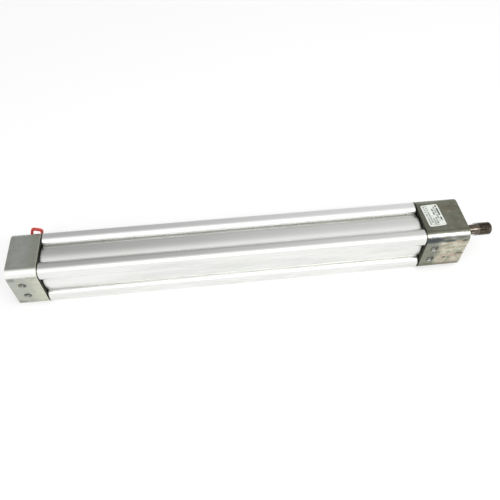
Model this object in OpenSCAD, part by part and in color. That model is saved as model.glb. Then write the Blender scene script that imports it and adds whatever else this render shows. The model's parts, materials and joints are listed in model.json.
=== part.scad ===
// Double-acting pneumatic cylinder with square steel heads and a four-lobed
// aluminium barrel, drawn with its rod fully in. Millimetres.
// X is the rod's axis. The origin is the centre of the rod head's front face:
// the rod comes out towards +X and the barrel runs back towards -X.
// +Z is up, the air ports face +Y and the side-tapped mounting face is -Y.

/* [Working size] */
// Bore of the barrel
bore_d = 38.1; // [36:0.1:39]
// Travel of the piston
stroke = 323.85; // [100:0.05:600]
// Diameter of the piston rod
rod_d = 12.7; // [11.5:0.1:13.5]

/* [Heads] */
// Side of both square heads
head_side = 50.8; // [50:0.1:56]
// Radius of the four long corners of the heads
head_corner_r = 9.5; // [6:0.1:10.5]
// Length of the rod-end head
rod_head_len = 41.3; // [40:0.1:60]
// Length of the cap-end head
cap_head_len = 27; // [26:0.1:45]
// Length of the pilot that each head pushes into the barrel
pilot_len = 4.5; // [4:0.1:8]

/* [Barrel] */
// Wall of the round tube between the lobes
tube_wall = 2.45; // [2:0.05:3]
// Width of the barrel over its lobes
barrel_side = 49; // [48:0.1:50]
// Width of each corner lobe
lobe_w = 14.7; // [13.5:0.1:15.5]
// Radius of the rounded lobe corners
lobe_r = 6; // [4:0.1:6.5]

/* [Corner screws] */
// Centre distance of the screws, along Y and along Z
screw_square = 36.3; // [35.5:0.1:37]
// Shank diameter of the screws
screw_d = 6.35; // [5.5:0.05:6.6]
// Head diameter of the screws
screw_head_d = 10; // [9.4:0.1:10.4]
// Height of the screw heads
screw_head_h = 12; // [11:0.1:14]
// Wall diameter of the tapped mounting hole in each screw head
screw_tap_d = 5.5; // [5.5:0.05:6.5]
// Depth of that tapped hole
screw_tap_depth = 7; // [5:0.1:7.5]
// Hexagon socket at its bottom, across flats
screw_hex = 4.7; // [4:0.05:4.75]
// Depth of the hexagon socket
screw_hex_depth = 3.5; // [2.5:0.1:3.5]
// Length of screw that bites in the barrel
screw_bite = 18; // [12:0.5:40]

/* [Side mounting holes] */
// Centre distance of the two holes on one head
tap_spacing = 15.875; // [14:0.005:18]
// Wall diameter of the holes
tap_d = 5.35; // [4:0.05:7]
// Diameter of the countersink at the mouth
tap_sink_d = 7.9; // [7.2:0.1:9]
// Depth of the holes
tap_depth = 11; // [8:0.1:12]
// Distance of the rod head's holes and port from its front face
rod_tap_x = 31.6; // [31.6:0.1:33]
// Distance of the cap head's holes from its outer face
cap_tap_x = 10.8; // [9:0.1:14]

/* [Air ports] */
// Wall diameter of the ports
port_d = 14.5; // [12:0.1:15]
// Countersink diameter at the mouth of the ports
port_sink_d = 17.5; // [16:0.1:19]
// Distance of the cap head's port from its outer face
cap_port_x = 13.5; // [12:0.1:14]
// Diameter of the air space inside both heads
air_d = 22; // [20:0.1:23]
// Wall left behind the air space in the cap head
cap_floor = 8; // [6:0.1:9]

/* [Rod gland] */
// Outside diameter of the gland
gland_d = 28; // [27:0.1:29]
// Length of the gland
gland_len = 19.5; // [18:0.1:20]
// Depth of the gland's front face in the head
gland_sink = 3.2; // [2.8:0.1:3.6]
// Thickness of the retaining ring
clip_t = 1.3; // [1:0.05:1.6]

/* [Piston] */
// Length of the piston
piston_len = 20.6; // [19:0.1:30]
// Diameter of the rod's neck inside the piston
neck_d = 9.5; // [8.5:0.1:10]
// Height of the piston nut
nut_h = 6.4; // [5:0.1:8]
// Piston nut across its flats
nut_flats = 14.3; // [14:0.1:16]

/* [Rod end] */
// Reach of the rod past the head's front face
rod_out = 36.5; // [35:0.1:70]
// Length of the male thread
thread_len = 12; // [8:0.1:13.5]
// Chamfer at the tip of the thread
tip_chamfer = 1.5; // [0.5:0.1:2.5]
// Outside diameter of the male thread
thread_d = 12.6; // [11:0.05:12.6]
// Rod across its wrench flats
flat_w = 9.5; // [8.5:0.1:10.5]
// Start of the wrench flats in front of the head
flat_x0 = 6; // [5:0.1:8]
// Length of the wrench flats at their full depth
flat_len = 10; // [7:0.1:11.5]
// Radius of the cutter that milled them, which shows where they run out
flat_cutter_r = 8; // [4:0.1:12]
// How far the rod is turned about its axis at rest, in degrees
rod_turned = 128; // [0:1:180]

/* [Label and plug] */
// Length of the name label along the cylinder
label_l = 16.8; // [10:0.1:22]
// Width of the name label across the head
label_w = 26.8; // [16:0.1:28]
// Distance of the label's centre from the front face
label_x = 28.7; // [24:0.1:28.7]
// Sideways place of the label's centre
label_y = 1.6; // [-3:0.1:3]
// How far the label is stuck on askew, in degrees
label_turn = 3; // [-6:0.5:6]
// Outer width of the plug's pull loop
loop_w = 11; // [10:0.1:16]
// Reach of the pull loop from the plug's axis
loop_reach = 25.2; // [22:0.1:28]
// Width of the loop's band
loop_band = 2.3; // [1.8:0.1:3]
// Thickness of the loop's band
loop_t = 2; // [1.5:0.1:3]
// Lean of the pull loop towards the rod end, in degrees
loop_lean = 20; // [0:1:30]

/* [Hidden] */
join = 0.01;           // overlap of shapes that make one piece

// Clearances
slip = 0.04;           // running fits, on the radius
seat = 0.05;           // parts that seat in each other, on the radius
screw_gap = 0.25;      // screws in their holes in the heads, on the radius
end_gap = 0.35;        // between the piston and a bumper at the end of its travel
piston_gap = 0.15;     // the piston's metal and the bore, on the radius
plug_gap = 0.1;        // ribs of the plug in the port, on the radius

// Bumpers
bumper_wall = 1.4;     // metal between a bumper's seat and the seal groove around it
bumper_w = 3.5;        // width of the bumper ring, on the radius
bumper_t = 4;
bumper_proud = 1.5;    // how far a bumper stands out of its pilot

// Seals
seal_cord = 1.78;      // section of the static seal rings
seal_gap = 0.02;       // static rings in their grooves, on the radius
groove_w = 2.6;        // width of their grooves
lip_seal_len = 3.2;    // length of the piston's lip seals
lip_seal_t = 4.5;      // depth of their grooves below the bore
wear_ring_len = 4.2;
wear_ring_t = 1.5;
land = 1.8;            // solid rim outside each lip seal
neck_cord = 1;         // section of the seal ring between rod and piston
neck_groove_w = 2;
ring_gap = 0.11;       // wear ring and the bottom of its groove, on the radius
ring_side_gap = 0.08;  // rings in their grooves, along the axis
rod_seal_len = 5;
rod_seal_t = 3.4;
rod_seal_wall = 3;     // gland behind the rod seal
wiper_len = 3.4;

// Retaining ring
clip_seat = 1.3;       // depth of its groove
clip_w = 2.2;          // width of the ring, on the radius
clip_opening = 4.8;
clip_lug_r = 2;
clip_lug_in = 0.6;     // centres of the lugs inside the ring's inner edge
clip_eye_r = 0.9;

// Rod
relief_len = 1.6;      // relief groove behind the male thread
relief_depth = 0.7;
rod_past_nut = 1.5;

// Label
label_t = 0.2;
label_r = 1.8;

// Plug
plug_shank_len = 8;
plug_wall = 1.6;
plug_floor = 1.4;
plug_rib_h = 0.8;      // length of a rib along the shank
plug_rib_out = 0.3;    // how far the ribs stand out of the shank
plug_rib_pitch = 2.6;
flange_t = 1.6;
flange_rim = 0.75;     // flange past the port's countersink
loop_foot = 0.5;       // flange between the cup and the loop
loop_r = 3.6;          // outer corners of the pull loop

// Places along X, from the front face backwards
rod_head_back = -rod_head_len;
rod_pilot_end = rod_head_back - pilot_len;
barrel_len = stroke + piston_len + 2 * (end_gap + bumper_proud + pilot_len);
cap_head_front = rod_head_back - barrel_len;
cap_pilot_end = cap_head_front + pilot_len;
total_len = rod_head_len + barrel_len + cap_head_len;
piston_back = cap_pilot_end + bumper_proud + end_gap;
piston_front = piston_back + piston_len;
gland_front = -gland_sink;
gland_back = gland_front - gland_len;
cap_air_end = -total_len + cap_floor;
nut_back = piston_back - nut_h;
rod_back = nut_back - rod_past_nut;

// Sizes that follow from the above
tube_d = bore_d + 2 * tube_wall;
pilot_d = bore_d - 2 * seat;
pilot_groove_d = bore_d - 2 * seal_cord - 4 * seal_gap;
bumper_seat_d = pilot_groove_d - 2 * bumper_wall;
bumper_od = bumper_seat_d - 2 * seat;
bumper_id = bumper_od - 2 * bumper_w;
lobe_mid = (barrel_side - lobe_w) / 2;
screw_off = screw_square / 2;
screw_core_d = screw_d + 2 * seat;
screw_hole_d = screw_d + 2 * screw_gap;
screw_head_hole_d = screw_head_d + 2 * screw_gap;
gland_hole_d = gland_d + 2 * seat;
clip_groove_d = gland_hole_d + 2 * clip_seat;
gland_groove_d = gland_hole_d - 2 * seal_cord - 4 * seal_gap;
gland_seal_x = (gland_front + gland_back) / 2;
rod_seal_od = rod_d + 2 * rod_seal_t;
rod_seal_hole_d = rod_seal_od + 2 * seat;
rod_seal_back = gland_back + rod_seal_wall;
piston_d = bore_d - 2 * piston_gap;
ring_od = bore_d - 2 * slip;
lip_groove_d = bore_d - 2 * lip_seal_t;
wear_groove_d = ring_od - 2 * wear_ring_t - 2 * ring_gap;
wear_x0 = (piston_front + piston_back - wear_ring_len) / 2;
neck_hole_d = neck_d + 2 * seat;
neck_groove_d = neck_hole_d - 2 * neck_cord - 4 * seal_gap;
neck_seal_x = (piston_front + piston_back) / 2;
plug_d = port_d - 2 * plug_gap;
shank_d = plug_d - 2 * plug_rib_out;
cup_d = shank_d - 2 * plug_wall;
flange_d = port_sink_d + 2 * flange_rim;
plug_x = -total_len + cap_port_x;
port_face = head_side / 2;

$fn = 96;

// ---- building blocks ----

// Cylinder along X from x0 to x1
module bar(d, x0, x1) {
  translate([x0, 0, 0]) rotate([0, 90, 0]) cylinder(d = d, h = x1 - x0);
}

// Cone along X from diameter d0 at x0 to diameter d1 at x1
module taper(d0, x0, d1, x1) {
  translate([x0, 0, 0]) rotate([0, 90, 0]) cylinder(d1 = d0, d2 = d1, h = x1 - x0);
}

// Flat ring about the X axis
module ring(od, id, x0, x1) {
  difference() {
    bar(od, x0, x1);
    bar(id, x0 - 1, x1 + 1);
  }
}

// Turns a profile about the X axis: its first axis is the radius, its second is X
module turn() {
  rotate([0, 90, 0]) rotate_extrude() children();
}

// Round-section seal ring whose outside touches diameter od
module seal_ring(od, cord, x) {
  turn() translate([(od - cord) / 2, x]) circle(d = cord, $fn = 32);
}

// Rectangle with round corners
module round_rect(w, h, r) {
  square([w - 2 * r, h], center = true);
  square([w, h - 2 * r], center = true);
  for (sx = [-1, 1], sy = [-1, 1])
    translate([sx * (w / 2 - r), sy * (h / 2 - r)]) circle(r = r);
}

// Extrudes a profile drawn in Y and Z along X, from x0 to x1
module along_x(x0, x1) {
  translate([x0, 0, 0]) rotate([90, 0, 90]) linear_extrude(x1 - x0) children();
}

// Repeats its children at the four corner screws
module at_screws() {
  for (sy = [-1, 1], sz = [-1, 1])
    translate([0, sy * screw_off, sz * screw_off]) children();
}

// Mirrors a part drawn from the front face, so that it starts at the cap's outer face
module from_cap() {
  translate([-total_len, 0, 0]) mirror([1, 0, 0]) children();
}

// ---- cuts that both heads share, drawn from an outer face at x = 0 ----

// Corner screw holes with their head recesses
module screw_cuts(length) {
  at_screws() {
    bar(screw_hole_d, -length - pilot_len - 1, 1);
    bar(screw_head_hole_d, -screw_head_h, 1);
  }
}

// The two side-tapped holes, with countersinks, in the -Y face
module side_taps(x) {
  for (sz = [-1, 1])
    translate([-x, -head_side / 2, sz * tap_spacing / 2]) rotate([-90, 0, 0]) {
      translate([0, 0, -1]) cylinder(d = tap_d, h = tap_depth + 1, $fn = 48);
      translate([0, 0, -join])
        cylinder(d1 = tap_sink_d, d2 = tap_d, h = (tap_sink_d - tap_d) / 2, $fn = 48);
    }
}

// Air port in the +Y face, with a countersink, down to the air space
module port(x) {
  sink_h = (port_sink_d - port_d) / 2;
  translate([-x, 0, 0]) rotate([-90, 0, 0]) {
    cylinder(d = port_d, h = port_face + 1);
    translate([0, 0, port_face - sink_h + join])
      cylinder(d1 = port_d, d2 = port_sink_d, h = sink_h);
  }
}

// Square head with its pilot, drawn from an outer face at x = 0 towards -X
module head_blank(length) {
  along_x(-length, 0) round_rect(head_side, head_side, head_corner_r);
  bar(pilot_d, -length - pilot_len, -length + 1);
}

// Seal groove and bumper seat of the pilot
module pilot_cuts(length) {
  groove_x = -length - (pilot_len + groove_w) / 2;
  ring(pilot_d + 2, pilot_groove_d, groove_x, groove_x + groove_w);
  bar(bumper_seat_d, -length - pilot_len - 1, -length - pilot_len + bumper_t - bumper_proud);
}

// ---- heads and barrel ----

module rod_head() {
  color([0.47, 0.48, 0.44]) difference() {
    head_blank(rod_head_len);
    bar(air_d, rod_pilot_end - 1, gland_back + 1);
    bar(gland_hole_d, gland_back, 1);
    bar(clip_groove_d, gland_front, gland_front + clip_t + 2 * seat);
    screw_cuts(rod_head_len);
    pilot_cuts(rod_head_len);
    side_taps(rod_tap_x);
    port(rod_tap_x);
  }
}

module cap_head() {
  color([0.52, 0.53, 0.5]) from_cap() difference() {
    head_blank(cap_head_len);
    bar(air_d, -cap_head_len - pilot_len - 1, -cap_floor);
    screw_cuts(cap_head_len);
    pilot_cuts(cap_head_len);
    side_taps(cap_tap_x);
    port(cap_port_x);
  }
}

// Extruded profile: a round tube, a lobe at each corner and a cored hole in each lobe
module barrel_profile() {
  difference() {
    union() {
      circle(d = tube_d);
      for (sy = [-1, 1], sz = [-1, 1])
        translate([sy * lobe_mid, sz * lobe_mid]) round_rect(lobe_w, lobe_w, lobe_r);
    }
    circle(d = bore_d);
    for (sy = [-1, 1], sz = [-1, 1])
      translate([sy * screw_off, sz * screw_off]) circle(d = screw_core_d);
  }
}

module barrel() {
  color([0.86, 0.87, 0.86]) along_x(cap_head_front, rod_head_back) barrel_profile();
}

// ---- corner screws ----

// Screw whose head is flush with the outer face. The head is tapped for a mounting
// screw, and the hexagon socket that turns the corner screw is at the hole's bottom.
module corner_screw(length) {
  difference() {
    union() {
      bar(screw_head_d, -screw_head_h, 0);
      bar(screw_d, -length - screw_bite, -screw_head_h + 1);
    }
    bar(screw_tap_d, -screw_tap_depth, 1);
    translate([-screw_tap_depth + 0.1, 0, 0]) rotate([0, -90, 0])
      cylinder(d = screw_hex / cos(30), h = screw_hex_depth + 0.1, $fn = 6);
  }
}

module rod_head_screws() {
  color([0.3, 0.3, 0.31]) at_screws() corner_screw(rod_head_len);
}

module cap_head_screws() {
  color([0.3, 0.3, 0.31]) from_cap() at_screws() corner_screw(cap_head_len);
}

// ---- static seals and bumpers ----

module rod_head_seal() {
  color([0.1, 0.1, 0.1]) seal_ring(bore_d - 2 * seal_gap, seal_cord, rod_head_back - pilot_len / 2);
}

module cap_head_seal() {
  color([0.1, 0.1, 0.1]) seal_ring(bore_d - 2 * seal_gap, seal_cord, cap_head_front + pilot_len / 2);
}

module rod_head_bumper() {
  x0 = rod_pilot_end - bumper_proud;
  color([0.75, 0.45, 0.2]) ring(bumper_od, bumper_id, x0, x0 + bumper_t);
}

module cap_head_bumper() {
  x0 = cap_pilot_end + bumper_proud - bumper_t;
  color([0.75, 0.45, 0.2]) ring(bumper_od, bumper_id, x0, x0 + bumper_t);
}

// ---- gland ----

module rod_gland() {
  color([0.72, 0.55, 0.3]) difference() {
    bar(gland_d, gland_back, gland_front);
    bar(rod_d + 2 * slip, gland_back - 1, gland_front + 1);
    bar(rod_seal_hole_d, rod_seal_back, rod_seal_back + rod_seal_len + 2 * seat);
    bar(rod_seal_hole_d, gland_front - wiper_len, gland_front + 1);
    ring(gland_d + 2, gland_groove_d, gland_seal_x - groove_w / 2, gland_seal_x + groove_w / 2);
  }
}

module gland_seal() {
  color([0.1, 0.1, 0.1]) seal_ring(gland_hole_d - 2 * seal_gap, seal_cord, gland_seal_x);
}

// Lip seal whose two lips open towards the pressure, at its low-X end
module rod_seal() {
  x0 = rod_seal_back + seat;
  x1 = x0 + rod_seal_len;
  r0 = rod_d / 2 + slip;
  r1 = rod_seal_od / 2;
  lip = 1.1;
  notch = 2.4;
  color([0.12, 0.12, 0.13]) turn() polygon([
    [r0 + 0.2, x1], [r1, x1], [r1, x0], [r1 - lip, x0],
    [(r0 + r1) / 2, x0 + notch], [r0 + lip, x0], [r0, x0]
  ]);
}

// Wiper with one lip that leans out along the rod
module rod_wiper() {
  x0 = gland_front - wiper_len + seat;
  r0 = rod_d / 2 + slip;
  r1 = rod_seal_od / 2;
  color([0.13, 0.13, 0.14]) turn() polygon([
    [r0 + 0.6, x0], [r1, x0], [r1, gland_front], [r0 + 2, gland_front],
    [r0 + 0.7, gland_front + 1.6], [r0, gland_front + 1.8], [r0 + 0.6, gland_front]
  ]);
}

// Internal retaining ring, open at the top between two lugs with plier holes
module gland_clip() {
  od = clip_groove_d - 2 * seat;
  id = od - 2 * clip_w;
  lug_x = clip_opening / 2 + clip_lug_r;
  lug_y = id / 2 - clip_lug_in;
  color([0.25, 0.25, 0.27])
    along_x(gland_front + seat, gland_front + seat + clip_t) difference() {
      union() {
        difference() {
          circle(d = od);
          circle(d = id);
          translate([-clip_opening / 2, 0]) square([clip_opening, od]);
        }
        for (s = [-1, 1]) translate([s * lug_x, lug_y]) circle(r = clip_lug_r, $fn = 48);
      }
      for (s = [-1, 1]) translate([s * lug_x, lug_y]) circle(r = clip_eye_r, $fn = 32);
    }
}

// ---- rod and piston ----

// Path of the cutter that mills one wrench flat, with its round run-out at both ends
module flat_cut() {
  translate([0, rod_d, flat_w / 2]) rotate([90, 0, 0]) linear_extrude(2 * rod_d) {
    translate([flat_x0, 0]) square([flat_len, flat_cutter_r]);
    for (x = [flat_x0, flat_x0 + flat_len]) translate([x, flat_cutter_r]) circle(r = flat_cutter_r);
  }
}

module piston_rod() {
  thread_x0 = rod_out - thread_len;
  color([0.35, 0.3, 0.26]) difference() {
    union() {
      bar(rod_d, piston_front, thread_x0 - relief_len);
      bar(thread_d - 2 * relief_depth, thread_x0 - relief_len - 1, thread_x0 + 1);
      bar(thread_d, thread_x0, rod_out - tip_chamfer);
      taper(thread_d, rod_out - tip_chamfer, thread_d - 2 * tip_chamfer, rod_out);
      bar(neck_d, rod_back, piston_front + 1);
    }
    for (side = [0, 180]) rotate([rod_turned + side, 0, 0]) flat_cut();
    ring(neck_d + 2, neck_groove_d, neck_seal_x - neck_groove_w / 2,
         neck_seal_x + neck_groove_w / 2);
  }
}

module piston() {
  color([0.7, 0.72, 0.74]) difference() {
    bar(piston_d, piston_back, piston_front);
    bar(neck_hole_d, piston_back - 1, piston_front + 1);
    piston_groove(lip_groove_d, piston_front - land - lip_seal_len, lip_seal_len);
    piston_groove(wear_groove_d, wear_x0, wear_ring_len);
    piston_groove(lip_groove_d, piston_back + land, lip_seal_len);
  }
}

module piston_groove(d, x0, length) {
  ring(piston_d + 2, d, x0 - ring_side_gap, x0 + length + ring_side_gap);
}

module neck_seal() {
  color([0.1, 0.1, 0.1]) seal_ring(neck_hole_d - 2 * seal_gap, neck_cord, neck_seal_x);
}

module piston_nut() {
  color([0.45, 0.45, 0.47]) difference() {
    translate([nut_back, 0, 0]) rotate([0, 90, 0])
      cylinder(d = nut_flats / cos(30), h = nut_h, $fn = 6);
    bar(neck_hole_d, nut_back - 1, piston_back + 1);
  }
}

// Lip seal in the groove that starts at x0; its lips open towards +X or, mirrored, -X
module piston_lip_seal(x0, side) {
  r0 = lip_groove_d / 2 + slip;
  r1 = ring_od / 2;
  depth = r1 - r0;
  color([0.12, 0.12, 0.13]) translate([x0 + lip_seal_len / 2, 0, 0])
    rotate([0, side > 0 ? 0 : 180, 0]) turn() polygon([
      [r0, -lip_seal_len / 2], [r1 - 0.4, -lip_seal_len / 2], [r1, lip_seal_len / 2],
      [r1 - 0.3 * depth, lip_seal_len / 2], [r0 + 0.5 * depth, -0.2],
      [r0 + 0.3 * depth, lip_seal_len / 2], [r0, lip_seal_len / 2]
    ]);
}

module piston_front_seal() {
  piston_lip_seal(piston_front - land - lip_seal_len, 1);
}

module piston_rear_seal() {
  piston_lip_seal(piston_back + land, -1);
}

module piston_wear_ring() {
  color([0.5, 0.35, 0.2])
    ring(ring_od, ring_od - 2 * wear_ring_t, wear_x0, wear_x0 + wear_ring_len);
}

// ---- plug and label ----

// Push-in plug for the cap's port: flange, ribbed shank and a deep cup inside
module plug_body() {
  difference() {
    union() {
      cylinder(d = flange_d, h = flange_t);
      translate([0, 0, -plug_shank_len]) cylinder(d = shank_d, h = plug_shank_len + join);
      for (i = [1, 2]) translate([0, 0, -i * plug_rib_pitch - plug_rib_h / 2])
        cylinder(d = plug_d, h = plug_rib_h);
    }
    translate([0, 0, plug_floor - plug_shank_len])
      cylinder(d = cup_d, h = plug_shank_len + flange_t);
  }
}

// Flat pull loop that stands on the flange and reaches up past the head
module plug_loop() {
  loop_end = cup_d / 2 + loop_foot;
  loop_len = loop_reach - loop_end;
  rotate([0, 0, loop_lean]) translate([0, -loop_end - loop_len / 2, flange_t - join])
    linear_extrude(loop_t + join) difference() {
      round_rect(loop_w, loop_len, loop_r);
      round_rect(loop_w - 2 * loop_band, loop_len - 2 * loop_band, loop_r - loop_band);
    }
}

module port_plug() {
  color([0.78, 0.16, 0.14]) translate([plug_x, port_face, 0]) rotate([-90, 0, 0]) {
    plug_body();
    plug_loop();
  }
}

module name_label() {
  color([0.93, 0.93, 0.9]) translate([-label_x, label_y, head_side / 2])
    rotate([0, 0, label_turn]) linear_extrude(label_t) round_rect(label_l, label_w, label_r);
}

barrel();
rod_head();
cap_head();
rod_head_screws();
cap_head_screws();
rod_head_seal();
cap_head_seal();
rod_head_bumper();
cap_head_bumper();
rod_gland();
gland_seal();
rod_seal();
rod_wiper();
gland_clip();
piston_rod();
piston();
neck_seal();
piston_nut();
piston_front_seal();
piston_wear_ring();
piston_rear_seal();
port_plug();
name_label();
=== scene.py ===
"""Dressed model of the air cylinder: edges, threads, finishes, label print, studio and camera.

Lengths are in metres, in the part's own frame; MM turns millimetres into metres.
"""
import json
import math

import bmesh
import bpy
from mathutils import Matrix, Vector


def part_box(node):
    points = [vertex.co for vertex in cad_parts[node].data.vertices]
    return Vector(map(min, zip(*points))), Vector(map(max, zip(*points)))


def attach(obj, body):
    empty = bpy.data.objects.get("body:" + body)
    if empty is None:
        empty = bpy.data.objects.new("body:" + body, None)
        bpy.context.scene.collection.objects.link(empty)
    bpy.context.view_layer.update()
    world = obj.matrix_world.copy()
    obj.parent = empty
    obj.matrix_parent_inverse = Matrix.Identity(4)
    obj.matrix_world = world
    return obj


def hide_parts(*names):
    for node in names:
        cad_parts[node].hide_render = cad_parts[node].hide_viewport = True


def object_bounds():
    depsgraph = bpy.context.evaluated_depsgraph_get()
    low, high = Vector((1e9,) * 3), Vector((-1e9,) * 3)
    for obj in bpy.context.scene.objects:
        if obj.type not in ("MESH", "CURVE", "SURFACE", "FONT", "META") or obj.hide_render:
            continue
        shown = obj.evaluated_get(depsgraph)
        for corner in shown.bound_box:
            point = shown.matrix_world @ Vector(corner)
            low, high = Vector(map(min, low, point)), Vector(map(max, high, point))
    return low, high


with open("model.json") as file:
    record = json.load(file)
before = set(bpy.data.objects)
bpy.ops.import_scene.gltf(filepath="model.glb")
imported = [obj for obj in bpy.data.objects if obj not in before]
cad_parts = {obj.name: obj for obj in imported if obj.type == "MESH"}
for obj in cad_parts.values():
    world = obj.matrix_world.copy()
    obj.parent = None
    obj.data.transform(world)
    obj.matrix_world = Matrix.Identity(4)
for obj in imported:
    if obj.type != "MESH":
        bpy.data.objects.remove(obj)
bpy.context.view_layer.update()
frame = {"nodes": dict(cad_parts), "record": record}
MM = 0.001
WHITE = (1, 1, 1, 1)


# ---- node materials ----

class Finish:
    """A Principled material that is built up one texture node at a time."""

    def __init__(self, name, **constants):
        self.material = bpy.data.materials.new(name)
        self.material.use_nodes = True
        self.tree = self.material.node_tree
        self.shader = self.tree.nodes["Principled BSDF"]
        self.place = None
        for socket, value in constants.items():
            self.shader.inputs[socket.replace("_", " ")].default_value = value

    def node(self, kind, settings=None, **sockets):
        """Adds a node, sets its properties, and fills or links its sockets."""
        made = self.tree.nodes.new("ShaderNode" + kind)
        for key, value in (settings or {}).items():
            setattr(made, key, value)
        for key, value in sockets.items():
            self.feed(made.inputs[key.replace("_", " ")], value)
        return made

    def feed(self, socket, value):
        """Links an output to the socket, or sets the socket to a constant."""
        if isinstance(value, bpy.types.NodeSocket):
            self.tree.links.new(value, socket)
        else:
            socket.default_value = value

    # Where a point is, and which way its surface faces

    def where(self):
        """The point on the piece, in metres in the part's frame."""
        if self.place is None:
            self.place = self.node("TexCoord").outputs["Object"]
        return self.place

    def axis(self, name):
        """One coordinate of that point."""
        split = self.node("SeparateXYZ", Vector=self.where())
        return split.outputs[name]

    def facing(self, name):
        """One component of the surface's own direction, from -1 to 1."""
        split = self.node("SeparateXYZ", Vector=self.node("NewGeometry").outputs["Normal"])
        return split.outputs[name]

    def noise(self, size_mm, detail=4.0, roughness=0.55, stretch=(1, 1, 1), shift=0.0):
        """Noise from 0 to 1 with lumps of about size_mm, longer along an axis by its stretch."""
        scale = [1 / (size_mm * MM * s) for s in stretch]
        grid = self.node("Mapping", Vector=self.where(), Scale=scale, Location=(shift, shift, shift))
        made = self.node("TexNoise", Vector=grid.outputs["Vector"], Scale=1.0,
                         Detail=detail, Roughness=roughness)
        return made.outputs["Fac"]

    # Sums with numbers and outputs

    def math(self, operation, a, b=0.0):
        made = self.node("Math", {"operation": operation})
        self.feed(made.inputs[0], a)
        self.feed(made.inputs[1], b)
        return made.outputs["Value"]

    def plus(self, a, b):
        return self.math("ADD", a, b)

    def minus(self, a, b):
        return self.math("SUBTRACT", a, b)

    def times(self, first, *others):
        product = first
        for other in others:
            product = self.math("MULTIPLY", product, other)
        return product

    def most(self, a, b):
        return self.math("MAXIMUM", a, b)

    def absolute(self, value):
        return self.math("ABSOLUTE", value)

    def squares(self, a, b):
        """The sum of the squares of a and b."""
        return self.plus(self.times(a, a), self.times(b, b))

    def distance(self, a, b):
        """How far the point at a and b lies from zero."""
        return self.math("POWER", self.squares(a, b), 0.5)

    def frayed(self, value, noise, width):
        """The value with noise added, which ranges from 0 to width."""
        return self.plus(value, self.times(noise, width))

    def sway(self, noise, width):
        """The noise as a shift to both sides, by half the width at most."""
        return self.times(self.minus(noise, 0.5), width)

    def step(self, value, low, high, out_low=0.0, out_high=1.0):
        """Smooth step of value from low to high, which may fall as well as rise."""
        made = self.node("MapRange", {"interpolation_type": "SMOOTHSTEP"}, Value=value)
        for socket, number in zip(("From Min", "From Max", "To Min", "To Max"),
                                  (low, high, out_low, out_high)):
            made.inputs[socket].default_value = number
        return made.outputs["Result"]

    def between(self, amount, a, b):
        """The number a where amount is 0, the number b where it is 1."""
        return self.plus(a, self.times(amount, self.minus(b, a)))

    # Colours

    def mix(self, amount, a, b):
        """Colour a where amount is 0, colour b where it is 1."""
        made = self.node("Mix", {"data_type": "RGBA"})
        self.feed(made.inputs["Factor"], amount)
        self.feed(made.inputs[6], a if isinstance(a, bpy.types.NodeSocket) else (*a, 1))
        self.feed(made.inputs[7], b if isinstance(b, bpy.types.NodeSocket) else (*b, 1))
        return made.outputs[2]

    def layer(self, base, mask, strength, colour):
        """The base with a colour over it, as strongly as mask and strength say together."""
        return self.mix(self.times(mask, strength), base, colour)

    # What the shader gets

    def colour(self, value):
        self.feed(self.shader.inputs["Base Color"], value)

    def roughness(self, value):
        self.feed(self.shader.inputs["Roughness"], value)

    def bump(self, height, depth_mm, strength):
        made = self.node("Bump", Height=height, Strength=strength, Distance=depth_mm * MM)
        self.tree.links.new(made.outputs["Normal"], self.shader.inputs["Normal"])


# The steel of each head. Lengths are in mm, and a reach is a distance from the barrel.
#   top, warm, grime      every face but the front, the part beside the barrel, and patches
#   front, cream          the -Y face, and its cleaner part
#   cream_mm              the reaches where the cleaner part starts and where it is whole
#   mottles, mottled      two colours that mottle the cleaner part, and how strong they are
#   stain, stains         stains on every face, and how strong the larger ones are
#   corner, corner_patch  the painted shade band below the polished corner, and how much
#                         lighter its patches are
#   band_end              how strong that band still is beyond about 20 mm from the barrel
#   shade_line            the tone of the painted shade line above the polish, as a share of the grime's
#   polish                the slopes where the polish starts, is full, is gone and is last full
#   ragged                how far, in slope, the edges of the polish and its neighbours wander
#   polish_and_highlight, handled  the polished corner, whose bright colour also paints a
#                         highlight there, and the share of polish on its dullest patches
#   edge_line, worn       the eased edges and the strip beside the barrel, worn and with a painted
#                         highlight on the cap head and darker on the rod head, and how strong
#                         that strip is
#   darker_low_edge, tap_shade  how much darker the front is towards its lower edge, and how
#                         strong the painted shade is in the side taps
#   spots                 on the front and the corner: (reach, height), (half length, half
#                         width), colour
#   top_spots             on the top: (reach, place across), and then the same
CAP_STEEL = {
    "top": (0.56, 0.585, 0.545), "warm": (0.46, 0.48, 0.385), "grime": (0.45, 0.47, 0.415),
    "front": (0.45, 0.465, 0.41), "cream": (0.60, 0.615, 0.505), "cream_mm": (13, 3),
    "mottles": ((0.47, 0.49, 0.42), (0.53, 0.51, 0.46)), "mottled": 0.45,
    "stain": (0.20, 0.21, 0.18), "stains": 0.25,
    "corner": (0.40, 0.415, 0.37), "corner_patch": 1.35, "band_end": 0.85, "shade_line": 0.75,
    "polish": (0.30, 0.46, 0.955, 0.885), "ragged": 0.035,
    "polish_and_highlight": (0.90, 0.905, 0.88), "handled": 0.9,
    "edge_line": (0.80, 0.80, 0.68), "worn": 0.7, "darker_low_edge": 0.15, "tap_shade": 0.75,
    "spots": (((22.8, 17.0), (3.0, 2.0), (0.30, 0.31, 0.285)),
              ((24.0, -17.0), (5.0, 3.0), (0.33, 0.32, 0.28))),
    "top_spots": (((3.0, 21.0), (4.0, 3.0), (0.42, 0.34, 0.27)),),
}
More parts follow.
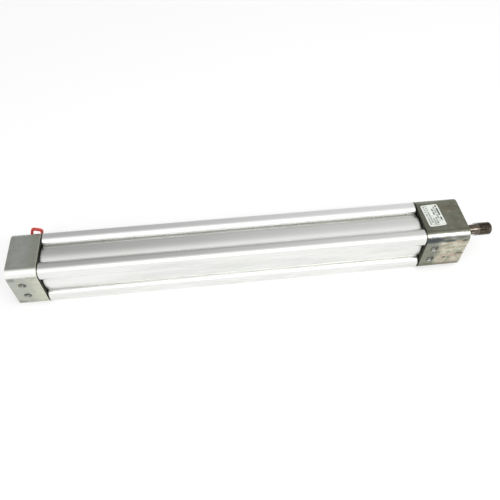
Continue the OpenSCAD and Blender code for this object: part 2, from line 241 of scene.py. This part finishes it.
ROD_STEEL = {
    "top": (0.245, 0.25, 0.197), "warm": (0.16, 0.165, 0.13), "grime": (0.18, 0.185, 0.135),
    "front": (0.245, 0.255, 0.205), "cream": (0.58, 0.56, 0.45), "cream_mm": (12, 19),
    "mottles": ((0.25, 0.275, 0.205), (0.46, 0.37, 0.285)), "mottled": 0.82,
    "stain": (0.13, 0.12, 0.085), "stains": 0.55,
    "corner": (0.105, 0.115, 0.105), "corner_patch": 2.6, "band_end": 0.62, "shade_line": 0.75,
    "polish": (0.38, 0.56, 0.84, 0.68), "ragged": 0.17,
    "polish_and_highlight": (0.66, 0.67, 0.625), "handled": 0.6,
    "edge_line": (0.12, 0.12, 0.10), "worn": 0.5, "darker_low_edge": 0.75, "tap_shade": 0.35,
    "spots": (((5.5, 20.0), (9.5, 3.2), (0.075, 0.085, 0.09)),
              ((21.5, 18.0), (7.0, 1.5), (0.11, 0.125, 0.12)),
              ((16.0, 14.6), (4.5, 0.7), (0.66, 0.67, 0.60)),
              ((37.0, 17.2), (3.0, 1.4), (0.13, 0.13, 0.11)),
              ((36.5, -2.0), (4.5, 1.3), (0.14, 0.145, 0.11)),
              ((23.1, -6.9), (1.8, 1.1), (0.10, 0.055, 0.03))),
    "top_spots": (((31.0, 9.0), (7.0, 5.0), (0.225, 0.20, 0.15)),
                  ((10.0, 19.0), (10.0, 2.0), (0.36, 0.365, 0.31))),
}

# What both heads share: colours, and how strong each layer is
SCUFF = (0.75, 0.75, 0.68)
# Painted shade in the side taps and their sunk rims
TAP_SHADE = (0.16, 0.16, 0.145)
# Painted shade on the face of each head that meets the barrel
INNER_FACE_SHADE = (0.055, 0.055, 0.042)
SCUFFED = 0.3
FLECKED = 0.5
EDGE_LINE_STRENGTH = 0.8
WARMED = 0.8
GRIMED = 0.7
TOP_SPOTTED = 0.55
CORNER_SHADE = 0.7
# How strong the painted shade band below the polished corner is beside the barrel
BAND_START = 0.85
# Roughness of clean steel and of stained or oily steel, before the grain and the polish
CLEAN_ROUGHNESS = 0.34
DULL_ROUGHNESS = 0.48
# Radius of a side tap together with its sunk rim
TAP_RIM = 4.0 * MM


def mount(name):
    """A mount's place, its outward axis and its sizes in metres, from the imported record."""
    row = next(row for row in frame["record"]["mounts"] if row["name"] == name)
    sizes = {key.removesuffix("_mm"): value * MM
             for key, value in row["dims"].items() if key.endswith("_mm")}
    return Vector(row["pos_m"]), Vector(row["axis"]), sizes


def tinted(colour, share):
    return [part * share for part in colour]


def head_steel(name, tones, barrel_x, away):
    """Cold-drawn bar, polished on its worn corner, with a painted highlight and painted shade there;
    stained and scuffed on its flats.

    The head starts at barrel_x and runs away from the barrel, towards +X (1) or -X (-1).
    """
    f = Finish(name, Metallic=1.0)
    reach = f.times(f.minus(f.axis("X"), barrel_x), away)
    in_front = f.step(f.facing("Y"), -0.8, -0.97)
    face = f.mix(in_front, head_top(f, tones, reach), head_front(f, tones, reach))
    blotch = f.step(f.noise(10, detail=6, roughness=0.68, stretch=(1.6, 1, 1), shift=3.1), 0.50, 0.70)
    face = f.layer(face, blotch, tones["stains"], tones["stain"])
    scuff = f.step(f.noise(2.4, detail=5, roughness=0.7, stretch=(3, 1, 1), shift=7.0), 0.58, 0.72)
    face = f.layer(face, scuff, SCUFFED, SCUFF)
    fleck = f.step(f.noise(1.1, roughness=0.7, shift=9.0), 0.62, 0.74)
    face = f.layer(face, fleck, FLECKED, tones["stain"])
    face, polish_and_highlight = head_corner(f, tones, reach, face)

    # Eased edges at both ends and the strip beside the barrel, worn and with a painted highlight on the
    # cap head and darker on the rod head; painted shade in the side taps and on the face that meets the
    # barrel
    end = f.times(f.facing("X"), away)
    tilt = f.absolute(end)
    edge = f.times(f.step(tilt, 0.25, 0.45), f.step(tilt, 0.97, 0.9))
    # The edge line: wear and a painted highlight on the cap head, darker on the rod head
    face = f.layer(face, edge, EDGE_LINE_STRENGTH, tones["edge_line"])
    rubbed = f.step(f.frayed(reach, f.noise(4), 0.5 * MM), 1.1 * MM, 0.6 * MM)
    face = f.layer(face, rubbed, tones["worn"], tones["edge_line"])
    # Painted shade in the side taps and their sunk rims
    face = f.layer(face, in_tap(f, barrel_x, away), tones["tap_shade"], TAP_SHADE)
    # Painted shade on the face that meets the barrel
    shaded_face = f.times(f.step(end, -0.85, -0.97), f.step(reach, 1 * MM, 0.3 * MM))
    f.colour(f.mix(shaded_face, face, INNER_FACE_SHADE))

    grain = f.noise(0.35, detail=3, roughness=0.6, stretch=(60, 1, 1))
    dull = f.step(f.most(blotch, shaded_face), 0, 1, CLEAN_ROUGHNESS, DULL_ROUGHNESS)
    f.roughness(f.minus(f.frayed(dull, grain, 0.1), f.times(polish_and_highlight, 0.1)))
    f.bump(f.frayed(grain, f.noise(1.2), 0.6), depth_mm=0.02, strength=0.35)
    return f.material


def head_top(f, tones, reach):
    """Every face but the front: warmer beside the barrel, with patches, and spots on the top."""
    near_barrel = f.step(reach, 14 * MM, 3 * MM)
    top = f.layer(tones["top"], near_barrel, WARMED, tones["warm"])
    patches = f.step(f.noise(7, detail=5, roughness=0.6), 0.4, 0.7)
    top = f.layer(top, patches, GRIMED, tones["grime"])
    for place, size, colour in tones["top_spots"]:
        top = f.layer(top, spot(f, reach, "Y", place, size), TOP_SPOTTED, colour)
    return top


def head_front(f, tones, reach):
    """The -Y face: a dull part, a cleaner mottled part, and a darker strip along its lower edge."""
    wander = f.sway(f.noise(7, detail=5, roughness=0.6), 14 * MM)
    cream_from, cream_to = (distance * MM for distance in tones["cream_mm"])
    cleaned = f.step(f.plus(reach, wander), cream_from, cream_to)
    front = f.mix(cleaned, tones["front"], tones["cream"])
    for shift, mottle in zip((11, 17), tones["mottles"]):
        lumps = f.noise(6.5, detail=6, roughness=0.66, stretch=(1.3, 1, 1), shift=shift)
        patch = f.times(f.step(lumps, 0.44, 0.60), cleaned)
        front = f.layer(front, patch, tones["mottled"], mottle)
    # Darker towards the front's lower edge
    height = f.frayed(f.axis("Z"), f.noise(4, roughness=0.6, shift=5), 6 * MM)
    low_down = f.step(height, -10 * MM, -14.5 * MM)
    return f.layer(front, low_down, tones["darker_low_edge"], tones["stain"])


def head_corner(f, tones, reach, face):
    """The rounded corner between the top and the -Y face: painted shade above and below the polish, and
    how polished it is, whose colour paints a highlight there too.

    The slope is 0 on the top and 1 on the -Y face, apart from its raggedness.
    """
    slope = f.plus(f.times(f.facing("Y"), -1.0), f.sway(f.noise(5), tones["ragged"]))
    upward = f.step(f.facing("Z"), 0.05, 0.15)
    # Painted shade: a dark line across the corner, above the polish
    line = f.times(f.step(slope, 0.0, 0.16), f.step(slope, 0.42, 0.25), upward)
    face = f.layer(face, line, CORNER_SHADE, tinted(tones["grime"], tones["shade_line"]))

    # Painted shade: a dark band on the corner, below the polish
    shade_band = f.times(f.step(slope, 0.6, 0.75), upward, f.step(slope, 1.0, 0.95))
    patches = f.mix(f.step(f.noise(6, detail=5, roughness=0.7, shift=5), 0.46, 0.66),
                    tones["corner"], tinted(tones["corner"], tones["corner_patch"]))
    along = f.frayed(reach, f.noise(6, detail=5, roughness=0.7, shift=13), 8 * MM)
    thinner = f.step(along, 15 * MM, 21 * MM, BAND_START, tones["band_end"])
    face = f.layer(face, shade_band, thinner, patches)
    for place, size, colour in tones["spots"]:
        face = f.mix(spot(f, reach, "Z", place, size), face, colour)

    # Polished wear, whose bright colour also paints a highlight on this corner, the one that faces the
    # lamp
    first, full, gone, last = tones["polish"]
    polish_and_highlight = f.times(f.step(slope, first, full), upward, f.step(slope, gone, last))
    uneven = f.noise(5, roughness=0.6, stretch=(1.5, 1, 1), shift=21)
    handled = f.step(uneven, 0.35, 0.65, tones["handled"], 1.0)
    return f.layer(face, polish_and_highlight, handled, tones["polish_and_highlight"]), polish_and_highlight


def in_tap(f, barrel_x, away):
    """1 on the walls and the sunk rims of this head's two side taps."""
    centre, _, sizes = mount("side_taps")
    tap_x = centre.x + away * sizes["spacing_x"] / 2
    along = f.minus(f.axis("X"), tap_x)
    up = f.minus(f.absolute(f.axis("Z")), sizes["spacing_y"] / 2)
    near = f.step(f.distance(along, up), TAP_RIM + 0.1 * MM, TAP_RIM)
    face_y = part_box("rod_head")[0][1]
    sunk = f.step(f.axis("Y"), face_y + 0.02 * MM, face_y + 0.1 * MM)
    return f.times(near, sunk, f.step(f.axis("Y"), 0.0, -1 * MM))


def spot(f, reach, axis, place, size):
    """A soft ragged ellipse on the -Y face and the corner (axis Z), or on the top (axis Y)."""
    across = f.math("DIVIDE", f.minus(reach, place[0] * MM), size[0] * MM)
    up = f.math("DIVIDE", f.minus(f.axis(axis), place[1] * MM), size[1] * MM)
    ragged = f.frayed(f.squares(across, up), f.noise(2.5, detail=5, roughness=0.7), 1.2)
    facing = f.step(f.facing("Y"), -0.1, -0.5) if axis == "Z" else f.step(f.facing("Z"), 0.5, 0.9)
    return f.times(f.step(ragged, 2.3, 0.8), facing)


# Where the round tube meets a lobe: its distances from the two middle planes
GROOVE_ACROSS = 9.8 * MM
GROOVE_OUT = 19.1 * MM
# How far the faint line on the near lobe's top lies from the middle plane
LOBE_LINE = 14.6 * MM
ALUMINIUM = (0.83, 0.84, 0.81)
ALUMINIUM_CLEAN = (0.87, 0.87, 0.86)
# A painted highlight on the far lobe's top
ALUMINIUM_HIGHLIGHT = (0.96, 0.965, 0.955)
BARREL_DUST = (0.35, 0.355, 0.34)
# Grime and painted shade in the grooves where the lobes meet the tube
GROOVE_GRIME_AND_SHADE = (0.20, 0.205, 0.18)
# Painted shade at the barrel's ends, beside the heads
END_SHADE = (0.06, 0.06, 0.045)


def barrel_aluminium():
    """Clear-anodised extrusion: die lines along it, grime and painted shade in its grooves, painted shade
    at its ends, and a painted highlight on the far lobe's top.
    """
    low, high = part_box("barrel")
    f = Finish("barrel_finish", Metallic=1.0)
    y, z = f.axis("Y"), f.axis("Z")
    on_top = f.step(z, 8 * MM, 16 * MM)
    tone = f.noise(26, detail=3, roughness=0.5, stretch=(3, 1, 1))
    skin = f.mix(f.step(tone, 0.3, 0.7), ALUMINIUM, ALUMINIUM_CLEAN)
    # Painted highlight: the far lobe's top is made brighter
    far_lobe_highlight = f.times(f.step(y, 10 * MM, 13 * MM), on_top)
    skin = f.mix(far_lobe_highlight, skin, ALUMINIUM_HIGHLIGHT)
    dust = f.step(f.noise(9, roughness=0.6, stretch=(8, 1, 1), shift=3), 0.3, 0.7, 0.06, 0.26)
    skin = f.layer(skin, dust, f.step(f.facing("Y"), -0.8, -0.98), BARREL_DUST)
    # Grime and painted shade in the grooves
    skin = f.mix(groove_grime_and_shade(f, y, z, on_top), skin, GROOVE_GRIME_AND_SHADE)

    middle = (low.x + high.x) / 2
    to_middle = f.absolute(f.minus(f.axis("X"), middle))
    to_end = f.minus(high.x - middle, to_middle)
    # Painted shade: a dark band at each end, beside the heads
    shaded_end = f.step(f.frayed(to_end, f.noise(3), 0.8 * MM), 1.9 * MM, 1.0 * MM)
    f.colour(f.mix(shaded_end, skin, END_SHADE))

    die_lines = f.noise(0.5, roughness=0.7, stretch=(400, 1, 1))
    f.roughness(f.plus(f.times(die_lines, 0.16), 0.24))
    f.bump(die_lines, depth_mm=0.012, strength=0.5)
    return f.material


def groove_grime_and_shade(f, y, z, on_top):
    """Grime and painted shade where a lobe meets the tube, wider on the tube on the top's far side, and a
    faint darker line on the near lobe's top.
    """
    across, up = (f.absolute(value) for value in (y, z))
    beside = f.minus(f.math("MINIMUM", across, up), GROOVE_ACROSS)
    outward = f.minus(f.most(across, up), GROOVE_OUT)
    gap = f.distance(beside, outward)
    tube_side = f.step(beside, 0.3 * MM, -0.3 * MM)

    def film(gone_mm, full_mm, strength, mask=1.0):
        """Grime and painted shade that is gone at one distance from the groove's bottom and full at
        another.
        """
        return f.times(f.step(gap, gone_mm * MM, full_mm * MM, 0.0, strength), mask)

    far = f.most(film(3.0, 0.4, 0.58), film(7.5, 2.0, 0.62, tube_side))
    near = f.most(film(1.2, 0.3, 0.9), film(3.4, 0.8, 0.15))
    to_line = f.absolute(f.plus(y, LOBE_LINE))
    near = f.most(near, f.step(to_line, 1.8 * MM, 0.4 * MM, 0.0, 0.22))
    lower = f.times(tube_side, f.step(z, 2 * MM, -2 * MM))
    side = f.most(film(3.0, 0.4, 0.36), film(7.5, 2.0, 0.14, lower))
    top = f.between(f.step(y, 2 * MM, -2 * MM), far, near)
    return f.between(on_top, side, top)


ROD_BRIGHT = (0.72, 0.73, 0.74)
ROD_BROWN = (0.105, 0.083, 0.058)
ROD_RUST = (0.055, 0.040, 0.026)
ROD_RUBBED = (0.36, 0.31, 0.24)


def rod_steel():
    """Ground rod, brown with rust outside the cylinder and bright inside it."""
    f = Finish("rod_finish", Metallic=1.0, Coat_Weight=0.8, Coat_Roughness=0.14)
    outside = f.step(f.axis("X"), -4 * MM, -2 * MM)
    rust = f.step(f.noise(2.2, detail=6, roughness=0.7), 0.40, 0.62)
    aged = f.mix(rust, ROD_BROWN, ROD_RUST)
    worn = f.step(f.noise(1.8, detail=5, roughness=0.7, stretch=(3, 1, 1), shift=2), 0.50, 0.64)
    rubbed = f.step(f.axis("X"), 26 * MM, 14 * MM, 0.60, 0.90)
    aged = f.layer(aged, worn, rubbed, ROD_RUBBED)
    f.colour(f.mix(outside, ROD_BRIGHT, aged))
    f.roughness(f.frayed(f.step(f.times(outside, rust), 0, 1, 0.15, 0.26), f.noise(0.6), 0.06))
    f.bump(f.noise(0.8, detail=5, roughness=0.7), depth_mm=0.02, strength=0.3)
    return f.material


def plain_metal(name, colour, worn, roughness, size_mm=3.0):
    """Machined or coated metal with faint wear."""
    f = Finish(name, Metallic=1.0)
    f.colour(f.mix(f.step(f.noise(size_mm), 0.4, 0.65), colour, worn))
    grain = f.noise(0.3, detail=3, roughness=0.6)
    f.roughness(f.plus(f.times(grain, 0.15), roughness))
    f.bump(grain, depth_mm=0.01, strength=0.4)
    return f.material


def plain_polymer(name, colour, shade, roughness, gloss=0.5):
    """Rubber or plastic with a slightly uneven surface."""
    f = Finish(name, Specular_IOR_Level=gloss)
    f.colour(f.mix(f.step(f.noise(4.0), 0.35, 0.7), colour, shade))
    f.roughness(f.plus(f.times(f.noise(1.0), 0.12), roughness))
    f.bump(f.noise(0.5, detail=3), depth_mm=0.02, strength=0.3)
    return f.material


LABEL_SIZE = (16.8 * MM, 26.8 * MM)
LABEL_TURN = math.radians(3)
LABEL_ROW = 2.45 * MM
# The lengths of a dash and of a word, each with the share of them that is left out
LABEL_GAPS = ((0.95 * MM, 0.22), (4.0 * MM, 0.24))
# How far from the film's edge the print is gone, and where it is whole
LABEL_MARGINS = (1.2 * MM, 1.3 * MM)
LABEL_FILM = (0.78, 0.81, 0.76)
LABEL_HANDLED = (0.70, 0.73, 0.675)
LABEL_INK = (0.05, 0.055, 0.05)


def label_print():
    """White film with rows of plain dark dashes, which spell nothing."""
    low, high = (Vector(corner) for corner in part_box("name_label"))
    centre = (low + high) / 2
    f = Finish("label_finish", Roughness=0.4)
    from_x = f.minus(f.axis("X"), centre.x)
    from_y = f.minus(f.axis("Y"), centre.y)
    cosine, sine = math.cos(LABEL_TURN), math.sin(LABEL_TURN)
    across = f.plus(f.times(from_x, cosine), f.times(from_y, sine))
    along = f.minus(f.times(from_y, cosine), f.times(from_x, sine))
    row = f.math("DIVIDE", across, LABEL_ROW)
    line = f.math("FLOOR", row)
    from_row = f.absolute(f.minus(f.math("FRACT", row), 0.5))
    printed = f.step(from_row, 0.40, 0.30)
    for length, share in LABEL_GAPS:
        place = f.math("FLOOR", f.math("DIVIDE", along, length))
        cell = f.node("CombineXYZ", X=line, Y=place, Z=share)
        chance = f.node("TexWhiteNoise", Vector=cell.outputs["Vector"]).outputs["Value"]
        printed = f.times(printed, f.step(chance, share, share + 0.01))
    gone, whole = LABEL_MARGINS
    for place, size in zip((across, along), LABEL_SIZE):
        inside = f.step(f.absolute(place), size / 2 - gone, size / 2 - whole)
        printed = f.times(printed, inside)
    film = f.mix(f.step(f.noise(6.0), 0.4, 0.7), LABEL_FILM, LABEL_HANDLED)
    weight = f.node("TexWhiteNoise", {"noise_dimensions": "1D"}, W=line).outputs["Value"]
    ink = f.step(weight, 0.0, 1.0, 0.55, 0.95)
    f.colour(f.layer(film, printed, ink, LABEL_INK))
    f.bump(f.noise(4.0), depth_mm=0.03, strength=0.3)
    return f.material


# ---- meshes ----

SMOOTH_BELOW = math.radians(32)    # edges that turn less are shaded smooth
EASED_ABOVE = math.radians(40)     # edges that turn more are eased
FLAT_BELOW = math.radians(0.2)     # faces that turn less are joined into one flat
SAME_POINT = 0.002 * MM
ON_BOX = 0.02 * MM


def add_piece(name, bm, finish, body, slot, *nodes):
    """Turns a bmesh into a smooth piece that rides on a body, in place of the CAD nodes named."""
    mesh = bpy.data.meshes.new(name)
    bm.to_mesh(mesh)
    bm.free()
    mesh.shade_smooth()
    mesh.set_sharp_from_angle(angle=SMOOTH_BELOW)
    mesh.materials.append(finish)
    piece = bpy.data.objects.new(name, mesh)
    bpy.context.scene.collection.objects.link(piece)
    smooth = piece.modifiers.new("even_shading", "WEIGHTED_NORMAL")
    smooth.keep_sharp = True
    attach(piece, body)
    if nodes:
        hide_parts(*nodes)


def clean_copy(node):
    """The CAD node's mesh, joined up at its edges and with its flats made whole."""
    bm = bmesh.new()
    bm.from_mesh(frame["nodes"][node].data)
    bmesh.ops.remove_doubles(bm, verts=bm.verts, dist=SAME_POINT)
    bmesh.ops.dissolve_limit(bm, angle_limit=FLAT_BELOW, verts=bm.verts, edges=bm.edges)
    return bm


def ease_edges(bm, width_mm, wanted=lambda point: True):
    """Bevels the sharp edges whose middle point is wanted."""
    sharp = [edge for edge in bm.edges
             if len(edge.link_faces) == 2 and edge.calc_face_angle() > EASED_ABOVE
             and wanted((edge.verts[0].co + edge.verts[1].co) / 2)]
    bmesh.ops.bevel(bm, geom=sharp, offset=width_mm * MM, segments=2, profile=0.5,
                    affect="EDGES", clamp_overlap=True)


def on_box(node):
    """A test for points on the outer faces of a CAD node's box."""
    low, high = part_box(node)

    def test(point):
        return any(min(abs(point[i] - low[i]), abs(point[i] - high[i])) < ON_BOX for i in range(3))
    return test


def join_rings(bm, pairs):
    """Fills the space between each pair of rings of points with a band of faces."""
    for one, two in pairs:
        for k in range(len(one)):
            nxt = (k + 1) % len(one)
            bm.faces.new((one[k], one[nxt], two[nxt], two[k]))


# ---- pieces ----

HEAD_EASE_MM = 0.3
BARREL_EASE_MM = 0.15
SCREW_EASE_MM = 0.2
PLUG_EASE_MM = 0.3


def dress_heads():
    low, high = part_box("barrel")
    for node, tones, barrel_x, away in (("cap_head", CAP_STEEL, low.x, -1),
                                        ("rod_head", ROD_STEEL, high.x, 1)):
        bm = clean_copy(node)
        ease_edges(bm, HEAD_EASE_MM, on_box(node))
        finish = head_steel(node + "_finish", tones, barrel_x, away)
        add_piece(node + "_eased", bm, finish, "cylinder", "head_steel", node)


def dress_barrel():
    bm = clean_copy("barrel")
    ease_edges(bm, BARREL_EASE_MM)
    add_piece("barrel_eased", bm, barrel_aluminium(), "cylinder", "barrel_aluminium", "barrel")


def dress_screws(finish):
    for node in ("rod_head_screws", "cap_head_screws"):
        bm = clean_copy(node)
        ease_edges(bm, SCREW_EASE_MM)
        add_piece(node + "_eased", bm, finish, "cylinder", "screw_steel", node)


def dress_plug():
    finish = plain_polymer("plug_finish", (0.62, 0.075, 0.06), (0.50, 0.05, 0.045), 0.38)
    bm = clean_copy("port_plug")
    ease_edges(bm, PLUG_EASE_MM)
    add_piece("port_plug_eased", bm, finish, "plug", "plug_plastic", "port_plug")


THREAD_STEPS = 8           # rings of points along each pitch of any thread

# The male thread on the rod's end
ROD_THREAD_LEN = 11.8 * MM
ROD_THREAD_R = 6.3 * MM
ROD_THREAD_PITCH = 1.27 * MM
ROD_THREAD_DEPTH = 0.7 * MM
ROD_THREAD_SIDES = 72
TIP_CHAMFER = 1.5 * MM
STUD_OVERLAP = 0.05 * MM   # how far the stud is sunk into the rod

# Female threads: pitch, and where they start and end below the face
TAP_THREAD = (1.27 * MM, 1.4 * MM, 10 * MM)
PORT_THREAD = (1.41 * MM, 1.6 * MM, 9.6 * MM)
SCREW_THREAD = (0.907 * MM, 0.5 * MM, 6.4 * MM)
SLEEVE_SIDES = 40
SLEEVE_DEPTH = 0.62        # a thread's depth, as a share of its pitch
SLEEVE_SEAT = 0.03 * MM    # how far a sleeve of thread is sunk into the wall


def thread_form(phase):
    """A thread's radius along one pitch: 1 where it is widest, around phase 0, and 0 at 0.5."""
    return min(1.0, 1.25 * abs(2 * phase - 1))


def dress_rod():
    """The rod with its flats from the CAD, and a true helical thread on its end."""
    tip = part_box("piston_rod")[1][0]
    start = tip - ROD_THREAD_LEN
    bm = clean_copy("piston_rod")
    cut = bmesh.ops.bisect_plane(bm, geom=list(bm.verts) + list(bm.edges) + list(bm.faces),
                                 plane_co=(start, 0, 0), plane_no=(1, 0, 0), clear_outer=True)
    rim = [part for part in cut["geom_cut"] if isinstance(part, bmesh.types.BMEdge)]
    bmesh.ops.contextual_create(bm, geom=rim)
    add_thread(bm, start - STUD_OVERLAP, tip, ROD_THREAD_R)
    add_piece("threaded_rod", bm, rod_steel(), "rod_assembly", "rod_steel", "piston_rod")


def add_thread(bm, x0, x1, radius):
    """A closed threaded stud along X from x0 to x1, with a chamfered tip."""
    count = round((x1 - x0) / ROD_THREAD_PITCH * THREAD_STEPS)
    rings = []
    for i in range(count + 1):
        x = x0 + (x1 - x0) * i / count
        ring = []
        for k in range(ROD_THREAD_SIDES):
            turn = k / ROD_THREAD_SIDES
            phase = (x / ROD_THREAD_PITCH - turn) % 1.0
            thread_r = radius - ROD_THREAD_DEPTH * (1 - thread_form(phase))
            r = min(thread_r, radius - TIP_CHAMFER + (x1 - x))
            angle = 2 * math.pi * turn
            ring.append(bm.verts.new((x, r * math.cos(angle), r * math.sin(angle))))
        rings.append(ring)
    join_rings(bm, zip(rings, rings[1:]))
    bm.faces.new(list(reversed(rings[0])))
    bm.faces.new(rings[-1])


def threaded_hole(name, face, outward, wall, thread, finish, slot):
    """A piece that lines a round hole with thread; face is the hole's middle on its surface."""
    bm = bmesh.new()
    add_sleeve(bm, face, outward, wall, thread)
    bmesh.ops.recalc_face_normals(bm, faces=bm.faces)
    add_piece(name, bm, finish, "cylinder", slot)


def add_sleeve(bm, face, outward, wall, thread):
    """A closed sleeve of female thread, whose outside is sunk a little into the hole's wall."""
    pitch, start, end = thread
    side = outward.orthogonal().normalized()
    other = outward.cross(side)
    count = round((end - start) / pitch * THREAD_STEPS)

    def ring(depth, radius_at):
        points = []
        for k in range(SLEEVE_SIDES):
            angle = 2 * math.pi * k / SLEEVE_SIDES
            across = side * math.cos(angle) + other * math.sin(angle)
            points.append(bm.verts.new(face - outward * depth + across * radius_at(k)))
        return points

    def thread_at(depth):
        def radius(k):
            phase = (depth / pitch - k / SLEEVE_SIDES) % 1.0
            return wall - SLEEVE_DEPTH * pitch * (1 - thread_form(phase))
        return radius

    depths = [start + (end - start) * i / count for i in range(count + 1)]
    rings = [ring(depth, thread_at(depth)) for depth in depths]
    rings += [ring(depth, lambda k: wall + SLEEVE_SEAT) for depth in (end, start)]
    join_rings(bm, zip(rings, rings[1:] + rings[:1]))


CORNERS = ((-1, -1), (-1, 1), (1, -1), (1, 1))


def dress_holes(screw_finish):
    """Cut threads in the side taps, the open port and the ends of the corner screws."""
    steel = plain_metal("cut_thread_steel", (0.20, 0.205, 0.19), (0.42, 0.42, 0.39), 0.30, size_mm=1.5)
    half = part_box("rod_head")[1].z
    centre, outward, sizes = mount("side_taps")
    for end, up in CORNERS:
        face = Vector((centre.x + end * sizes["spacing_x"] / 2, -half, up * sizes["spacing_y"] / 2))
        threaded_hole(f"tap_thread_{end}_{up}", face, outward, sizes["hole_r"], TAP_THREAD,
                      steel, "head_steel")
    centre, outward, sizes = mount("rod_end_port")
    face = Vector((centre.x, half, centre.z))
    threaded_hole("port_thread", face, outward, sizes["r"], PORT_THREAD, steel, "head_steel")
    for head in ("rod_head", "cap_head"):
        centre, outward, sizes = mount(head + "_face_holes")
        off = sizes["spacing_x"] / 2
        for across, up in CORNERS:
            face = centre + Vector((0, across * off, up * off))
            threaded_hole(f"{head}_screw_thread_{across}_{up}", face, outward, sizes["hole_r"],
                          SCREW_THREAD, screw_finish, "screw_steel")


def dress_small_parts(screw_finish):
    """Finishes for the pieces that keep their CAD shape."""
    rubber = plain_polymer("seal_finish", (0.02, 0.02, 0.021), (0.035, 0.035, 0.035), 0.55, gloss=0.35)
    bumper = plain_polymer("bumper_finish", (0.62, 0.30, 0.08), (0.5, 0.22, 0.05), 0.4)
    finishes = {
        "rod_head_bumper": bumper,
        "cap_head_bumper": bumper,
        "rod_gland": plain_metal("bronze_finish", (0.60, 0.42, 0.22), (0.42, 0.28, 0.14), 0.3),
        "gland_clip": plain_metal("clip_finish", (0.10, 0.10, 0.105), (0.2, 0.19, 0.18), 0.35),
        "piston": plain_metal("piston_finish", (0.75, 0.76, 0.78), (0.66, 0.67, 0.69), 0.28),
        "piston_wear_ring": plain_polymer("wear_ring_finish", (0.3, 0.18, 0.09), (0.24, 0.14, 0.07), 0.5),
        "piston_nut": screw_finish,
        "name_label": label_print(),
    }
    for name, node in frame["nodes"].items():
        if node.hide_render:
            continue
        node.data.materials[0] = finishes.get(name, rubber)


# ---- studio ----

FLOOR_SIDE = 30
FLOOR_MIDDLE_X = -0.2
FLOOR_TONE = 0.66
FLOOR_GLOW = 0.36

# The sky's strength behind, what is added to that on the rod's side, and its strength in front
BACK_SKY = 0.38
SIDE_SKY = 0.34
FRONT_SKY = 1.0
# Where it changes, as the X and the Y of a direction of length 1
SIDE_SPAN = (-0.35, 0.5)
FRONT_SPAN = (0.55, -0.3)

LAMP_SIZE = (1.5, 0.16)
LAMP_WATTS = 6.0
LAMP_PLACE = (0.15, -0.68, 0.87)

CAMERA_LENS = 37.51
CAMERA_SENSOR = 36
CAMERA_NEAR = 0.01
CAMERA_PLACE = (-0.24233, -0.30832, 0.39862)
CAMERA_TURN = (37.817, -0.204, -6.546)    # in degrees


def seen_rays(f):
    """1 for camera, glossy and transmission rays, the only ones that see the floor's glow."""
    rays = f.node("LightPath").outputs
    seen = f.most(rays["Is Camera Ray"], rays["Is Glossy Ray"])
    return f.most(seen, rays["Is Transmission Ray"])


def pale_floor():
    """A wide pale floor under the part, whose far edge is a level line in low views."""
    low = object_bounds()[0]
    bpy.ops.mesh.primitive_plane_add(size=FLOOR_SIDE, location=(FLOOR_MIDDLE_X, 0, low[2]))
    floor = bpy.context.object
    floor.name = "floor"
    f = Finish("floor_finish", Roughness=0.7, Specular_IOR_Level=0.1, Emission_Color=WHITE)
    f.colour((FLOOR_TONE, FLOOR_TONE, FLOOR_TONE, 1))
    f.feed(f.shader.inputs["Emission Strength"], f.times(seen_rays(f), FLOOR_GLOW))
    floor.data.materials.append(f.material)


def sky():
    """Soft light from above and in front, with a duller wall behind, the same for every ray."""
    world = bpy.data.worlds.new("studio")
    bpy.context.scene.world = world
    world.use_nodes = True
    tree = world.node_tree
    tree.nodes.clear()
    new = tree.nodes.new
    link = tree.links.new

    def ramp(value, settings):
        made = new("ShaderNodeMapRange")
        made.interpolation_type = "SMOOTHSTEP"
        link(value, made.inputs["Value"])
        for socket, number in zip(("From Min", "From Max", "To Min", "To Max"), settings):
            made.inputs[socket].default_value = number
        return made

    split = new("ShaderNodeSeparateXYZ")
    link(new("ShaderNodeTexCoord").outputs["Generated"], split.inputs[0])
    back = ramp(split.outputs["X"], (*SIDE_SPAN, BACK_SKY, BACK_SKY + SIDE_SKY))
    total = ramp(split.outputs["Y"], (*FRONT_SPAN, 0, FRONT_SKY))
    link(back.outputs["Result"], total.inputs["To Min"])
    lit = new("ShaderNodeBackground")
    link(total.outputs["Result"], lit.inputs["Strength"])
    lit.inputs["Color"].default_value = WHITE
    link(lit.outputs[0], new("ShaderNodeOutputWorld").inputs["Surface"])


def window():
    """A long soft lamp over the camera, which draws the bright line along the rod and lobes."""
    data = bpy.data.lights.new("window", "AREA")
    data.shape = "RECTANGLE"
    data.size, data.size_y = LAMP_SIZE
    data.energy = LAMP_WATTS
    lamp = bpy.data.objects.new("window", data)
    bpy.context.scene.collection.objects.link(lamp)
    lamp.location = LAMP_PLACE
    lamp.rotation_euler = (math.atan2(-LAMP_PLACE[1], LAMP_PLACE[2]), 0, 0)


def camera():
    """From in front and above, a little to the left of the cylinder's middle."""
    data = bpy.data.cameras.new("camera")
    data.lens = CAMERA_LENS
    data.sensor_width = CAMERA_SENSOR
    data.clip_start = CAMERA_NEAR
    cam = bpy.data.objects.new("camera", data)
    bpy.context.scene.collection.objects.link(cam)
    cam.location = CAMERA_PLACE
    cam.rotation_euler = [math.radians(angle) for angle in CAMERA_TURN]
    bpy.context.scene.camera = cam


camera()
dress_heads()
dress_barrel()
dress_plug()
dress_rod()
screw_oxide = plain_metal("black_oxide", (0.05, 0.05, 0.055), (0.12, 0.11, 0.10), 0.35)
dress_screws(screw_oxide)
dress_holes(screw_oxide)
dress_small_parts(screw_oxide)
pale_floor()
sky()
window()
bpy.context.scene.view_settings.view_transform = "Standard"
